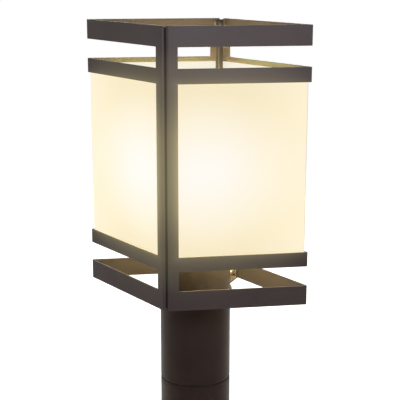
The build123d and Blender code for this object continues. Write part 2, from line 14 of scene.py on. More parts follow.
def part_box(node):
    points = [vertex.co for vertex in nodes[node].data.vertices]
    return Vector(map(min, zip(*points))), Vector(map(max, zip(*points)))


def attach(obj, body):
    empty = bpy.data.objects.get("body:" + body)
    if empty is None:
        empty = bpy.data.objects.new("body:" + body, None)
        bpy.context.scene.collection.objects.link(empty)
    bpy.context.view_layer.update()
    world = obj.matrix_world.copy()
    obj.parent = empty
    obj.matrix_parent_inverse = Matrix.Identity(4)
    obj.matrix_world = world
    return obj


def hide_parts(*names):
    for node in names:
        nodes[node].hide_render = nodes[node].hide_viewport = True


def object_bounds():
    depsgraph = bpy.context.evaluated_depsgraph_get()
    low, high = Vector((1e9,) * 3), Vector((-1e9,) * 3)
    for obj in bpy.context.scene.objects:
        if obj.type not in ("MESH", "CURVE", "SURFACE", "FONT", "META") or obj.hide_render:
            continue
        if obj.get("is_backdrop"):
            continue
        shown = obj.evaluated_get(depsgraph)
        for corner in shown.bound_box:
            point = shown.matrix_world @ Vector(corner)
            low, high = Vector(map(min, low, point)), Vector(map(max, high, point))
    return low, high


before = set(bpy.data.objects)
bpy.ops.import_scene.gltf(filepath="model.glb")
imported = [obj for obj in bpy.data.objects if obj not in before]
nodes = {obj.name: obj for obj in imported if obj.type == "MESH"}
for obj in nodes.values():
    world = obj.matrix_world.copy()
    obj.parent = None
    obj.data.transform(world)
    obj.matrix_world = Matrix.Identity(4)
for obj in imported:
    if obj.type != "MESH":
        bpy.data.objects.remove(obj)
cad_low, cad_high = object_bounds()
millimetre = 0.001
print(len(nodes), "nodes, the part is", [round(size, 3) for size in cad_high - cad_low], "metres")

# %% [markdown]
# A few places are read from the solids once, because finishes and lights share them. The lamp's glass
# gives the middle of the light: its widest part lies half its width below its top. The faces of the
# lantern are turned from the seams by an angle that the normal of a pane's largest face gives. The corners
# of one sheet, away from its seams, lie on eight levels: the lower and upper edges of its four bands, with
# the window between the second and the third band.

# %% Places that the finishes share
bulb_low, bulb_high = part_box("lamp_bulb")
bulb_radius = (bulb_high.x - bulb_low.x) / 2
lamp_middle = Vector((0, 0, bulb_high.z - bulb_radius))
pane_face = max(nodes["pane_front_right"].data.polygons, key=lambda face: face.area).normal
face_turn = atan(abs(pane_face.x / pane_face.y))
corners = [vertex.co for vertex in nodes["right_frame"].data.vertices]
past_seam = 30 * millimetre
levels = sorted({round(corner.z, 5) for corner in corners if corner.x > past_seam})
window_low, window_high = levels[3], levels[4]
same_level = 0.1 * millimetre
strip_edge = max(corner.x for corner in corners
                 if abs(corner.z - window_high) < same_level and corner.x < past_seam)
face_distance = max(corner.x for corner in corners) * sin(face_turn)
print("lamp at", round(lamp_middle.z, 4), "faces turned", round(degrees(face_turn), 1), "degrees")
print("band edges at", levels)
print("strips end at", round(strip_edge, 4), "and faces stand at", round(face_distance, 4))

# %% [markdown]
# Every finish is a tree of nodes. A few helpers keep the cells short: they add a node and set its sockets,
# start a node group with named sockets, place a group in a tree, map a value from one range to another,
# do a step of arithmetic, and turn a value into colours with a ramp.

# %% Helpers for node trees
def add_node(tree, kind, sockets=None, **settings):
    """A new shader node with its settings and socket values."""
    made = tree.nodes.new("ShaderNode" + kind)
    for name, value in settings.items():
        setattr(made, name, value)
    for name, value in (sockets or {}).items():
        made.inputs[name].default_value = value
    return made


def start_group(name, inputs, outputs):
    """A new node group and its two end nodes."""
    group = bpy.data.node_groups.new(name, "ShaderNodeTree")
    for title, kind in inputs.items():
        group.interface.new_socket(title, in_out="INPUT", socket_type="NodeSocket" + kind)
    for title, kind in outputs.items():
        group.interface.new_socket(title, in_out="OUTPUT", socket_type="NodeSocket" + kind)
    return group, group.nodes.new("NodeGroupInput"), group.nodes.new("NodeGroupOutput")


def place_group(tree, group, sockets):
    """The group as a node of a tree, with its own values."""
    made = tree.nodes.new("ShaderNodeGroup")
    made.node_tree = group
    for name, value in sockets.items():
        made.inputs[name].default_value = value
    return made


def map_between(tree, source, low, high, start, end):
    """Maps a value from one range to another, held at the ends."""
    made = add_node(tree, "MapRange", {"From Min": low, "From Max": high, "To Min": start, "To Max": end})
    tree.links.new(source, made.inputs["Value"])
    return made.outputs["Result"]


def math_node(tree, operation, first, second=0.0):
    """A Math node between two sockets or numbers."""
    made = add_node(tree, "Math", operation=operation)
    for socket, value in zip(made.inputs, (first, second)):
        if isinstance(value, (int, float)):
            socket.default_value = value
        else:
            tree.links.new(value, socket)
    return made.outputs[0]


def color_steps(tree, source, steps):
    """A ramp that turns a value into colours, from the colours at some of its values."""
    made = add_node(tree, "ValToRGB")
    stops = made.color_ramp.elements
    while len(stops) < len(steps):
        stops.new(0.5)
    for stop, (position, color) in zip(stops, steps.items()):
        stop.position = position
        stop.color = (*color, 1.0)
    tree.links.new(source, made.inputs["Fac"])
    return made.outputs["Color"]


# %% [markdown]
# No real surface is one flat colour. Paint, plating, rubber and glaze all drift a little in tone over a
# hand's width and have a fine grain that breaks up their gloss. That is the same effect at other sizes,
# so it is one group: a wide noise mixes two tones, and a fine noise gives roughness and relief.

# %% Group for drifting tone and fine grain
surface_grain, grain_in, grain_out = start_group(
    "surface_grain",
    {"Deep": "Color", "Pale": "Color", "Drift Scale": "Float", "Grain Scale": "Float",
     "Smooth": "Float", "Rough": "Float"},
    {"Color": "Color", "Roughness": "Float", "Height": "Float"},
)
links = surface_grain.links
noise_low, noise_high = 0.3, 0.7
place = add_node(surface_grain, "TexCoord").outputs["Object"]
drift = add_node(surface_grain, "TexNoise", {"Detail": 5.0, "Roughness": 0.62})
grain = add_node(surface_grain, "TexNoise", {"Detail": 2.0})
tones = add_node(surface_grain, "Mix", data_type="RGBA")
links.new(place, drift.inputs["Vector"])
links.new(place, grain.inputs["Vector"])
links.new(grain_in.outputs["Drift Scale"], drift.inputs["Scale"])
links.new(grain_in.outputs["Grain Scale"], grain.inputs["Scale"])
links.new(map_between(surface_grain, drift.outputs[0], noise_low, noise_high, 0.0, 1.0), tones.inputs[0])
links.new(grain_in.outputs["Deep"], tones.inputs[6])
links.new(grain_in.outputs["Pale"], tones.inputs[7])
gloss = add_node(surface_grain, "MapRange", {"From Min": noise_low, "From Max": noise_high})
links.new(grain.outputs[0], gloss.inputs["Value"])
links.new(grain_in.outputs["Smooth"], gloss.inputs["To Min"])
links.new(grain_in.outputs["Rough"], gloss.inputs["To Max"])
links.new(tones.outputs[2], grain_out.inputs["Color"])
links.new(gloss.outputs["Result"], grain_out.inputs["Roughness"])
links.new(grain.outputs[0], grain_out.inputs["Height"])
print("group surface_grain has", len(surface_grain.nodes), "nodes")

# %% [markdown]
# Most finishes are that group in front of one Principled shader. Values that are the same all over the
# surface, such as metal or not, are set on the shader itself.

# %% Helpers for finishes
def grained(name, deep, pale, drift, grain, gloss, relief, **sockets):
    """A material from two tones. Relief is the grain's height in millimetres."""
    material = bpy.data.materials.new(name)
    material.use_nodes = True
    tree = material.node_tree
    shader = tree.nodes["Principled BSDF"]
    texture = place_group(tree, surface_grain, {
        "Deep": (*deep, 1.0), "Pale": (*pale, 1.0), "Drift Scale": drift, "Grain Scale": grain,
        "Smooth": gloss[0], "Rough": gloss[1],
    })
    bump = add_node(tree, "Bump", {"Strength": 1.0, "Distance": relief * millimetre})
    tree.links.new(texture.outputs["Color"], shader.inputs["Base Color"])
    tree.links.new(texture.outputs["Roughness"], shader.inputs["Roughness"])
    tree.links.new(texture.outputs["Height"], bump.inputs["Height"])
    tree.links.new(bump.outputs["Normal"], shader.inputs["Normal"])
    for socket, value in sockets.items():
        shader.inputs[socket.replace("_", " ")].default_value = value
    return material


def add_glow(material, color, strength):
    """Lets a finish give light of a colour."""
    shader = material.node_tree.nodes["Principled BSDF"]
    material.node_tree.links.new(color, shader.inputs["Emission Color"])
    shader.inputs["Emission Strength"].default_value = strength


def dress(material, *names):
    """Gives CAD nodes a material."""
    for name in names:
        nodes[name].data.materials.clear()
        nodes[name].data.materials.append(material)


# %% [markdown]
# Frosted glass scatters the lamp's light, so a pane glows most where the lamp is nearest, and so does the
# paint beside it. Both glows are painted light in the emission of the finish. A point at distance d from
# the lamp gets light by nearest distance over d, and that ratio drives both glows. Height counts a little
# more than width, because the lamp is dimmer towards its cap and its crown. The glow looks the same from
# every side.

# %% Group for nearness to the lamp
lamp_nearness, near_in, near_out = start_group(
    "lamp_nearness",
    {"Lamp": "Vector", "Nearest": "Float"},
    {"Nearness": "Float"},
)
links = lamp_nearness.links
place = add_node(lamp_nearness, "TexCoord").outputs["Object"]
offset = add_node(lamp_nearness, "VectorMath", operation="SUBTRACT")
height_weight = 1.3
weighed = add_node(lamp_nearness, "VectorMath", operation="MULTIPLY")
weighed.inputs[1].default_value = (1.0, 1.0, height_weight)
apart = add_node(lamp_nearness, "VectorMath", operation="LENGTH")
links.new(place, offset.inputs[0])
links.new(near_in.outputs["Lamp"], offset.inputs[1])
links.new(offset.outputs[0], weighed.inputs[0])
links.new(weighed.outputs[0], apart.inputs[0])
share = math_node(lamp_nearness, "DIVIDE", near_in.outputs["Nearest"], apart.outputs["Value"])
links.new(share, near_out.inputs["Nearness"])
print("group lamp_nearness has", len(lamp_nearness.nodes), "nodes")

# %% [markdown]
# The bright glass spills warm light over the strips and bands around the window and over the dark seam.
# That spill is painted light: a warm glow put into the emission of the paint.
# The spill falls off with the distance from the window's edge, first fast and then slowly. The window's
# edge is a strip's width from the seam and two levels, and all four faces mirror each other.

# %% Group for the painted light that spills from the glass
glass_spill, spill_in, spill_out = start_group(
    "glass_spill",
    {"Lamp": "Vector", "Nearest": "Float", "Strip": "Float", "Low": "Float", "High": "Float"},
    {"Color": "Color"},
)
links = glass_spill.links
place = add_node(glass_spill, "TexCoord").outputs["Object"]
mirrored = add_node(glass_spill, "VectorMath", operation="ABSOLUTE")
split = add_node(glass_spill, "SeparateXYZ")
links.new(place, mirrored.inputs[0])
links.new(mirrored.outputs[0], split.inputs[0])
beside = math_node(glass_spill, "SUBTRACT", spill_in.outputs["Strip"], split.outputs["X"])
under = math_node(glass_spill, "SUBTRACT", spill_in.outputs["Low"], split.outputs["Z"])
over = math_node(glass_spill, "SUBTRACT", split.outputs["Z"], spill_in.outputs["High"])
outside = math_node(glass_spill, "MAXIMUM", under, over)
way = add_node(glass_spill, "CombineXYZ")
links.new(math_node(glass_spill, "MAXIMUM", beside, 0.0), way.inputs["X"])
links.new(math_node(glass_spill, "MAXIMUM", outside, 0.0), way.inputs["Y"])
reach = add_node(glass_spill, "VectorMath", operation="LENGTH")
links.new(way.outputs[0], reach.inputs[0])
half_way, far_share = 3.5 * millimetre, 0.40
halvings = math_node(glass_spill, "DIVIDE", reach.outputs["Value"], half_way)
fade = map_between(glass_spill, math_node(glass_spill, "POWER", 0.5, halvings), 0.0, 1.0, far_share, 1.0)
print("the spill halves every", half_way, "metres, down to a share of", far_share)

# %% [markdown]
# The spill is also stronger where the lamp is nearer. A ramp turns nearness to the lamp into levels of one
# warm colour, and the fade from the window's edge scales it.

# %% Level of the spilled light
near = place_group(glass_spill, lamp_nearness, {})
for title in ("Lamp", "Nearest"):
    links.new(spill_in.outputs[title], near.inputs[title])
spill_color = Vector((1.0, 0.87, 0.43))
spill_levels = {0.35: 0.0, 0.37: 0.01, 0.41: 0.075, 0.47: 0.13,
                0.54: 0.15, 0.61: 0.21, 0.75: 0.32, 0.90: 0.37}
spill_steps = {position: spill_color * level for position, level in spill_levels.items()}
spilled = add_node(glass_spill, "VectorMath", operation="SCALE")
links.new(color_steps(glass_spill, near.outputs["Nearness"], spill_steps), spilled.inputs[0])
links.new(fade, spilled.inputs["Scale"])
links.new(spilled.outputs[0], spill_out.inputs["Color"])
print("group glass_spill has", len(glass_spill.nodes), "nodes")


def add_spill(material):
    """Adds the painted spill light of the glass to the emission of a finish."""
    spill = place_group(material.node_tree, glass_spill, {
        "Lamp": lamp_middle, "Nearest": face_distance, "Strip": strip_edge,
        "Low": window_low, "High": window_high,
    })
    add_glow(material, spill.outputs["Color"], 1.0)


# %% [markdown]
# The two sheets meet in a seam a little over a millimetre wide. Hardly any light reaches into it, so its
# walls get a painted shade: nearly black, matte, and past the reach of the painted spill light. The seams
# lie where X is none, so the distance from there gives the mask.

# %% Group for the painted shade of the seams
seam_wall, seam_clear = 0.9 * millimetre, 1.8 * millimetre
wall_shades = {"Color": 0.2, "Spill": 0.6}
seam_painted_shade, seam_in, seam_out = start_group(
    "seam_painted_shade",
    {"Color": "Color", "Roughness": "Float", "Spill": "Color", "Wall": "Float", "Clear": "Float"},
    {"Color": "Color", "Roughness": "Float", "Spill": "Color"},
)
links = seam_painted_shade.links
split = add_node(seam_painted_shade, "SeparateXYZ")
links.new(add_node(seam_painted_shade, "TexCoord").outputs["Object"], split.inputs[0])
aside = math_node(seam_painted_shade, "ABSOLUTE", split.outputs["X"])
mask = add_node(seam_painted_shade, "MapRange")
links.new(aside, mask.inputs["Value"])
links.new(seam_in.outputs["Wall"], mask.inputs["From Min"])
links.new(seam_in.outputs["Clear"], mask.inputs["From Max"])
unshaded = mask.outputs["Result"]
for title, shade in wall_shades.items():
    dimmed = add_node(seam_painted_shade, "VectorMath", operation="SCALE")
    links.new(seam_in.outputs[title], dimmed.inputs[0])
    links.new(map_between(seam_painted_shade, unshaded, 0.0, 1.0, shade, 1.0), dimmed.inputs["Scale"])
    links.new(dimmed.outputs[0], seam_out.inputs[title])
dull = map_between(seam_painted_shade, unshaded, 0.0, 1.0, 1.0, 0.0)
links.new(math_node(seam_painted_shade, "MAXIMUM", seam_in.outputs["Roughness"], dull), seam_out.inputs["Roughness"])
print("group seam_painted_shade has", len(seam_painted_shade.nodes), "nodes")


def paint_seam_shade(material):
    """Puts the painted shade of the seams over a finish that has the painted spill light."""
    tree = material.node_tree
    shader = tree.nodes["Principled BSDF"]
    dark = place_group(tree, seam_painted_shade, {"Wall": seam_wall, "Clear": seam_clear})
    for socket, title in (("Base Color", "Color"), ("Roughness", "Roughness"), ("Emission Color", "Spill")):
        tree.links.new(shader.inputs[socket].links[0].from_socket, dark.inputs[title])
        tree.links.new(dark.outputs[title], shader.inputs[socket])


# %% [markdown]
# The sheets, the cup and the fitter have a satin bronze powder coat. Powder coat melts into a skin with
# a fine orange peel, about a millimetre across, and it is less glossy than wet paint, so its specular
# level is low. The fitter is a shade darker than the sheets. The cup, the strap and the glass ledges are a
# shade lighter, which is painted light: it stands in for the light of the lamp and the glass inside.

# %% Bronze paint
powder_coat = {"grain": 900.0, "relief": 0.012, "Specular_IOR_Level": 0.06}
sheet_paint = grained("sheet_paint", (0.050, 0.037, 0.034), (0.060, 0.045, 0.042), drift=14.0,
                      gloss=(0.42, 0.52), **powder_coat)
# The inner paint is lighter as painted light, for the light of the lamp and the glass inside the lantern.
lit_inner_paint = grained("lit_inner_paint", (0.070, 0.051, 0.043), (0.100, 0.075, 0.063), drift=40.0,
                      gloss=(0.42, 0.52), **powder_coat)
fitter_paint = grained("fitter_paint", (0.0230, 0.0132, 0.0114), (0.0280, 0.0165, 0.0142), drift=14.0,
                       gloss=(0.38, 0.48), **powder_coat)
# The sheets get the painted spill light of the glass, and a painted shade in their seams.
add_spill(sheet_paint)
paint_seam_shade(sheet_paint)
dress(lit_inner_paint, "socket_cup")
dress(fitter_paint, "fitter_tube", "fitter_sleeve", "fitter_cap")
print("bronze paint mixed in three shades")

# %% [markdown]
# The small metal pieces are plain steel with a zinc plate, brass and aluminium. Plating has a soft grain
# and a faint yellow drift, and rubbed brass is a little darker in patches. The nuts at the seams look
# dull and dark, so they get a zinc of their own.

# %% Small metal pieces
zinc_plate = grained("zinc_plate", (0.62, 0.58, 0.50), (0.74, 0.72, 0.68), drift=90.0, grain=1500.0,
                     gloss=(0.28, 0.42), relief=0.006, Metallic=1.0)
brass = grained("brass", (0.58, 0.40, 0.14), (0.76, 0.56, 0.24), drift=120.0, grain=1400.0,
                gloss=(0.22, 0.38), relief=0.005, Metallic=1.0)
lamp_metal = grained("lamp_metal", (0.66, 0.66, 0.66), (0.80, 0.80, 0.80), drift=150.0, grain=1600.0,
                     gloss=(0.20, 0.34), relief=0.004, Metallic=1.0)
green_dye = grained("green_dye", (0.02, 0.17, 0.05), (0.04, 0.27, 0.09), drift=160.0, grain=1500.0,
                    gloss=(0.30, 0.42), relief=0.006, Metallic=0.7)
screw_lacquer = grained("screw_lacquer", (0.034, 0.024, 0.022), (0.048, 0.036, 0.034), drift=120.0,
                        grain=1500.0, gloss=(0.34, 0.46), relief=0.008)
dull_zinc = grained("dull_zinc", (0.13, 0.11, 0.08), (0.19, 0.165, 0.12), drift=90.0, grain=1500.0,
                    gloss=(0.42, 0.55), relief=0.006, Metallic=1.0)
dress(brass, "socket_contact", "lamp_tip")
dress(screw_lacquer, "set_screw_front", "set_screw_right", "set_screw_left")
print("metals mixed, set screws and contacts dressed")

# %% [markdown]
# Rubber and the moulded bush are matte and nearly black. The pads under the glass are pale silicone. The
# socket is glazed porcelain, white with a thin glassy coat, and the lamp's insulator is black glass.

# %% Rubber, plastic and glaze
black_rubber = grained("black_rubber", (0.012, 0.012, 0.012), (0.024, 0.023, 0.022), drift=60.0,
                       grain=1800.0, gloss=(0.72, 0.86), relief=0.015)
pad_silicone = grained("pad_silicone", (0.56, 0.55, 0.51), (0.68, 0.67, 0.63), drift=80.0, grain=1500.0,
                       gloss=(0.5, 0.62), relief=0.01)
bush_plastic = grained("bush_plastic", (0.018, 0.018, 0.018), (0.032, 0.032, 0.032), drift=80.0,
                       grain=1600.0, gloss=(0.5, 0.64), relief=0.012)
porcelain = grained("porcelain", (0.78, 0.75, 0.69), (0.86, 0.84, 0.80), drift=40.0, grain=500.0,
                    gloss=(0.16, 0.26), relief=0.008, Coat_Roughness=0.05, Coat_Weight=0.6)
black_glass = grained("black_glass", (0.010, 0.010, 0.012), (0.020, 0.020, 0.024), drift=150.0, grain=900.0,
                      gloss=(0.08, 0.16), relief=0.003)
# The gaskets in the seams get the same painted spill light and painted seam shade.
add_spill(black_rubber)
paint_seam_shade(black_rubber)
dress(black_rubber, "seam_gasket_front", "seam_gasket_back")
dress(bush_plastic, "wire_bushing")
dress(porcelain, "socket_body")
dress(black_glass, "lamp_insulator")
print("rubber, plastic and glaze dressed")

# %% [markdown]
# A place on a pane is found by its distance along a direction, as with a ruler laid on the piece. That
# distance makes a mask, and the mask mixes another colour into the glow.

# %% Helpers for masks
def distance_along(tree, direction):
    """How far a point of the piece lies along a direction."""
    made = add_node(tree, "VectorMath", operation="DOT_PRODUCT")
    made.inputs[1].default_value = direction
    tree.links.new(add_node(tree, "TexCoord").outputs["Object"], made.inputs[0])
    return made.outputs["Value"]


def mixed_in(tree, color, other, mask):
    """Another colour mixed into a colour by a mask."""
    made = add_node(tree, "Mix", {7: (*other, 1.0)}, data_type="RGBA")
    tree.links.new(mask, made.inputs[0])
    tree.links.new(color, made.inputs[6])
    return made.outputs[2]


# %% [markdown]
# The cut edge of a pane looks duller than its face, because light has to run through the length of the
# glass to get there. Towards the folded corner two panes come close and light each other. The inner side
# of a pane is whiter than the outer side, as the bright studio behind shines through it. Edge and side are
# measured on two directions that the pane's own turn gives, so each pane has its own material.

# %% Frosted panes
# The glow, the corner's glow, the whiter inner side and the dull edge are painted light in the emission.
glow_steps = {0.40: (0.82, 0.71, 0.47), 0.50: (0.84, 0.735, 0.50), 0.65: (0.89, 0.81, 0.64),
              0.95: (0.91, 0.87, 0.82)}
corner_glow, inner_white, cut_edge = (0.97, 0.88, 0.68), (0.70, 0.715, 0.69), (0.56, 0.54, 0.46)
corner_start, corner_share, inner_share = 0.4, 0.55, 0.6
edge_reach, half_step = 1.6 * millimetre, 0.1 * millimetre


def pane_glass(name, side, end):
    """Frosted glass for one pane, with its painted glow, its whiter inner side and its dull upright edge."""
    along = Vector((side * cos(face_turn), -end * sin(face_turn), 0))
    inward = Vector((-side * sin(face_turn), -end * cos(face_turn), 0))
    far_end = max(vertex.co.dot(along) for vertex in nodes[name].data.vertices)
    depths = [vertex.co.dot(inward) for vertex in nodes[name].data.vertices]
    middle = (min(depths) + max(depths)) / 2
    material = grained("glass_" + name, (0.28, 0.265, 0.23), (0.30, 0.285, 0.25), drift=20.0, grain=1400.0,
                       gloss=(0.42, 0.52), relief=0.006, Specular_IOR_Level=0.08)
    tree = material.node_tree
    near = place_group(tree, lamp_nearness, {"Lamp": lamp_middle, "Nearest": -max(depths)})
    across = distance_along(tree, inward)
    reach = distance_along(tree, along)
    corner = map_between(tree, reach, corner_start * far_end, far_end, 0.0, corner_share)
    inside = map_between(tree, across, middle - half_step, middle + half_step, 0.0, inner_share)
    edge = map_between(tree, reach, far_end - edge_reach, far_end, 0.0, 1.0)
    color = color_steps(tree, near.outputs["Nearness"], glow_steps)
    for other, mask in ((corner_glow, corner), (inner_white, inside), (cut_edge, edge)):
        color = mixed_in(tree, color, other, mask)
    add_glow(material, color, 1.0)
    return material


pane_sides = {"pane_front_left": (-1, -1), "pane_front_right": (1, -1),
              "pane_back_left": (-1, 1), "pane_back_right": (1, 1)}
for name, (side, end) in pane_sides.items():
    dress(pane_glass(name, side, end), name)
print("four panes dressed")

# %% [markdown]
# The lamp's bulb is frosted too, and lit. Its glow is strongest round its widest part and dimmer at the
# neck, which the same nearness gives.

# %% Bulb
bulb_glass = grained("bulb_glass", (0.70, 0.68, 0.62), (0.74, 0.72, 0.66), drift=30.0, grain=1400.0,
                     gloss=(0.35, 0.45), relief=0.004)
tree = bulb_glass.node_tree
near = place_group(tree, lamp_nearness, {"Lamp": lamp_middle, "Nearest": bulb_radius})
bulb_steps = {0.45: (0.55, 0.42, 0.22), 1.0: (1.0, 0.90, 0.64)}
add_glow(bulb_glass, color_steps(tree, near.outputs["Nearness"], bulb_steps), 0.9)
dress(bulb_glass, "lamp_bulb")
print("bulb dressed, with a radius of", round(bulb_radius / millimetre, 1), "millimetres")

# %% [markdown]
# From here on, pieces are modelled that the solids leave plain: nuts, screws, threads and soft edges. A
# pattern is modelled upright at the origin, from a primitive, and copies of it are then turned and moved
# to their places. An operator acts on all that is selected, so every step starts with nothing selected.

# %% Helpers for modelling
merge_distance = 0.002 * millimetre
smooth_limit = radians(32)


def select_alone(piece=None):
    """Leaves edit mode, and selects one piece or nothing."""
    if bpy.context.mode != "OBJECT":
        bpy.ops.object.mode_set(mode="OBJECT")
    bpy.ops.object.select_all(action="DESELECT")
    if piece:
        piece.select_set(True)
        bpy.context.view_layer.objects.active = piece


def apply_modifier(piece, kind, **settings):
    """Gives a piece a modifier and applies it."""
    select_alone(piece)
    modifier = piece.modifiers.new(kind.lower(), kind)
    for name, value in settings.items():
        setattr(modifier, name, value)
    bpy.ops.object.modifier_apply(modifier=modifier.name)


def combine(piece, tool, operation):
    """Adds, cuts or intersects a piece with a tool body, which is then thrown away."""
    apply_modifier(piece, "BOOLEAN", object=tool, operation=operation, solver="EXACT")
    bpy.data.objects.remove(tool)


def edit_all(piece):
    """Edit mode on one piece, with all of it selected."""
    select_alone(piece)
    bpy.ops.object.mode_set(mode="EDIT")
    bpy.ops.mesh.select_all(action="SELECT")


def close_up(piece):
    """Merges doubled points and turns all faces outwards."""
    edit_all(piece)
    bpy.ops.mesh.remove_doubles(threshold=merge_distance)
    bpy.ops.mesh.dissolve_degenerate(threshold=merge_distance)
    bpy.ops.mesh.normals_make_consistent(inside=False)
    bpy.ops.object.mode_set(mode="OBJECT")


def smooth(piece):
    """Cleans the mesh, shades the round faces smooth and keeps the sharp edges."""
    close_up(piece)
    bpy.ops.object.shade_smooth_by_angle(angle=smooth_limit)


# %% [markdown]
# Turned pieces come from half an outline, as on a lathe. A plane is merged into one point, the point is
# extruded from place to place, and Spin carries the line once round the upright axis.

# %% Helpers for turned pieces
def drawn_line(name, points):
    """A line through points of radius and height in millimetres, drawn by extruding one point."""
    select_alone()
    bpy.ops.mesh.primitive_plane_add(size=millimetre)
    line = bpy.context.object
    line.name = name
    bpy.ops.object.mode_set(mode="EDIT")
    bpy.ops.mesh.merge(type="CENTER")
    places = [Vector((radius, 0, height)) * millimetre for radius, height in points]
    bpy.ops.transform.translate(value=places[0])
    for here, there in zip(places, places[1:]):
        bpy.ops.mesh.extrude_vertices_move(TRANSFORM_OT_translate={"value": there - here})
    bpy.ops.object.mode_set(mode="OBJECT")
    return line


def turned(name, points, steps=48):
    """A body turned from an outline that starts and ends on the axis, or comes back to its start."""
    body = drawn_line(name, points)
    edit_all(body)
    bpy.ops.mesh.spin(steps=steps, angle=2 * pi, center=(0, 0, 0), axis=(0, 0, 1))
    close_up(body)
    return body


# %% [markdown]
# The places come from the solids. A node such as the nuts holds several solids in one mesh, so a copy of
# it is merged and separated by loose parts, and each part's box is read.

# %% Helpers for the places of copies
def solids_of(node):
    """The lowest and highest corners of each solid of a node, from low to high and from front to back."""
    copy = bpy.data.objects.new(node + "_copy", nodes[node].data.copy())
    bpy.context.scene.collection.objects.link(copy)
    close_up(copy)
    edit_all(copy)
    bpy.ops.mesh.separate(type="LOOSE")
    bpy.ops.object.mode_set(mode="OBJECT")
    boxes = []
    for part in list(bpy.context.selected_objects):
        spread = list(zip(*(vertex.co for vertex in part.data.vertices)))
        boxes.append([Vector([end(values) for values in spread]) for end in (min, max)])
        bpy.data.objects.remove(part)
    return sorted(boxes, key=lambda box: (round(box[0].z, 4), round(box[0].y, 4), box[0].x))


def hand_over(piece, material, node, body="lantern"):
    """Gives a finished piece its finish and its body, in the place of a CAD node."""
    piece.data.name = piece.name
    piece.data.materials.clear()
    piece.data.materials.append(material)
    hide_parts(node)
    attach(piece, body)


def copy_to(pattern, name, place, axis, roll=0.0):
    """A copy with its own mesh, its upright axis turned to a direction, at a place."""
    select_alone(pattern)
    bpy.ops.object.duplicate()
    piece = bpy.context.object
    piece.name = name
    turn = Vector(axis).to_track_quat("Z", "Y") @ Quaternion((0, 0, 1), roll)
    piece.matrix_world = Matrix.LocRotScale(place, turn, None)
    bpy.ops.object.transform_apply(location=True, rotation=True, scale=True)
    return piece


# %% [markdown]
# A hexagon nut has its corners turned off at thirty degrees, which leaves a curved edge on each flat. That
# is a six-sided prism cut by a turned body, so a Boolean makes it, and a second one drills the bore with
# its countersinks.

# %% Helpers for hexagons
def hexagon(name, flats, height):
    """A prism with six flats and turned-off corners, from the origin up."""
    select_alone()
    corner = flats / 2 / cos(pi / 6)
    bpy.ops.mesh.primitive_cylinder_add(vertices=6, radius=corner * millimetre, depth=height * millimetre,
                                        location=(0, 0, height / 2 * millimetre))
    prism = bpy.context.object
    prism.name = name
    bpy.ops.object.transform_apply(location=True)
    slope = sin(pi / 6) / cos(pi / 6)
    face_share, past = 0.95, 0.2
    face = face_share * flats / 2
    inner, outer = face - past / slope, corner + past
    drop = (outer - face) * slope
    outline = [(0, -past), (inner, -past), (outer, drop), (outer, height - drop), (inner, height + past),
               (0, height + past)]
    combine(prism, turned("corner_lathe", outline), "INTERSECT")
    return prism


def hexagon_nut(name, flats, height, bore):
    """A nut with a countersunk bore."""
    nut = hexagon(name, flats, height)
    sink, past = 0.35, 1
    mouth = bore / 2 + sink + past
    drill = [(0, -past), (mouth, -past), (bore / 2, sink), (bore / 2, height - sink), (mouth, height + past),
             (0, height + past)]
    combine(nut, turned("drill", drill, steps=32), "DIFFERENCE")
    smooth(nut)
    return nut


# %% [markdown]
# There are three kinds of nuts: small ones at the seams, larger ones on the strap's studs, and two wide
# ones on the nipple. Each row gives the width across flats, the height and the bore in millimetres, the
# turn about the bore and the finish. The bores of the strap's nuts point inwards from their faces.

# %% Hexagon nuts
nut_kinds = {
    "seam_nuts": (5.5, 2.4, 3.0, 0.0, dull_zinc),
    "strap_nuts": (7.0, 3.2, 4.0, 0.0, zinc_plate),
    "nipple_nuts": (14.0, 4.0, 10.0, pi / 6, zinc_plate),
}
nut_axes = {"seam_nuts": Vector((-1, 0, 0)), "nipple_nuts": Vector((0, 0, 1))}


def inward_from(place):
    """The direction from the nearest face of the lantern inwards."""
    side = 1 if place.x > 0 else -1
    end = 1 if place.y > 0 else -1
    return Vector((-side * sin(face_turn), -end * cos(face_turn), 0))


for node, (flats, height, bore, roll, finish) in nut_kinds.items():
    pattern = hexagon_nut(node + "_pattern", flats, height, bore)
    for count, (low, high) in enumerate(solids_of(node), 1):
        middle = (low + high) / 2
        axis = nut_axes.get(node, inward_from(middle))
        seat = middle - axis * height / 2 * millimetre
        nut = copy_to(pattern, f"{node[:-1]}_{count}", seat, axis, roll)
        hand_over(nut, finish, node)
    bpy.data.objects.remove(pattern)
    print(count, "nuts for", node, "with", len(nut.data.polygons), "faces each")

# %% [markdown]
# The screws are turned with a rounded head, and a bar cuts the recess for the driver. Their threads hide
# in their holes, so the shanks only get a pointed end.

# %% Helpers for screws
def cut_slot(piece, length, width, depth, top, turn=0.0, taper=1.0):
    """Cuts a slot into a screw head from its top, shorter at its floor by a taper."""
    select_alone()
    bpy.ops.mesh.primitive_cube_add(size=millimetre, rotation=(0, 0, turn))
    bar = bpy.context.object
    bar.scale = (length, width, 2 * depth)
    bar.location.z = top * millimetre
    bpy.ops.object.transform_apply(location=True, rotation=True, scale=True)
    edit_all(bar)
    bpy.ops.mesh.select_mode(type="VERT")
    bpy.ops.mesh.select_all(action="DESELECT")
    bpy.ops.object.mode_set(mode="OBJECT")
    for vertex in bar.data.vertices:
        vertex.select = vertex.co.z < top * millimetre
    bpy.ops.object.mode_set(mode="EDIT")
    bpy.ops.transform.resize(value=(taper, taper, 1.0))
    bpy.ops.object.mode_set(mode="OBJECT")
    combine(piece, bar, "DIFFERENCE")


def quarter_round(radius, top, roll, steps=4):
    """Points of a rounded edge that runs from a flat top down to a radius."""
    turns = [pi / 2 * step / steps for step in range(steps + 1)]
    return [(radius - roll + roll * sin(turn), top - roll + roll * cos(turn)) for turn in turns]


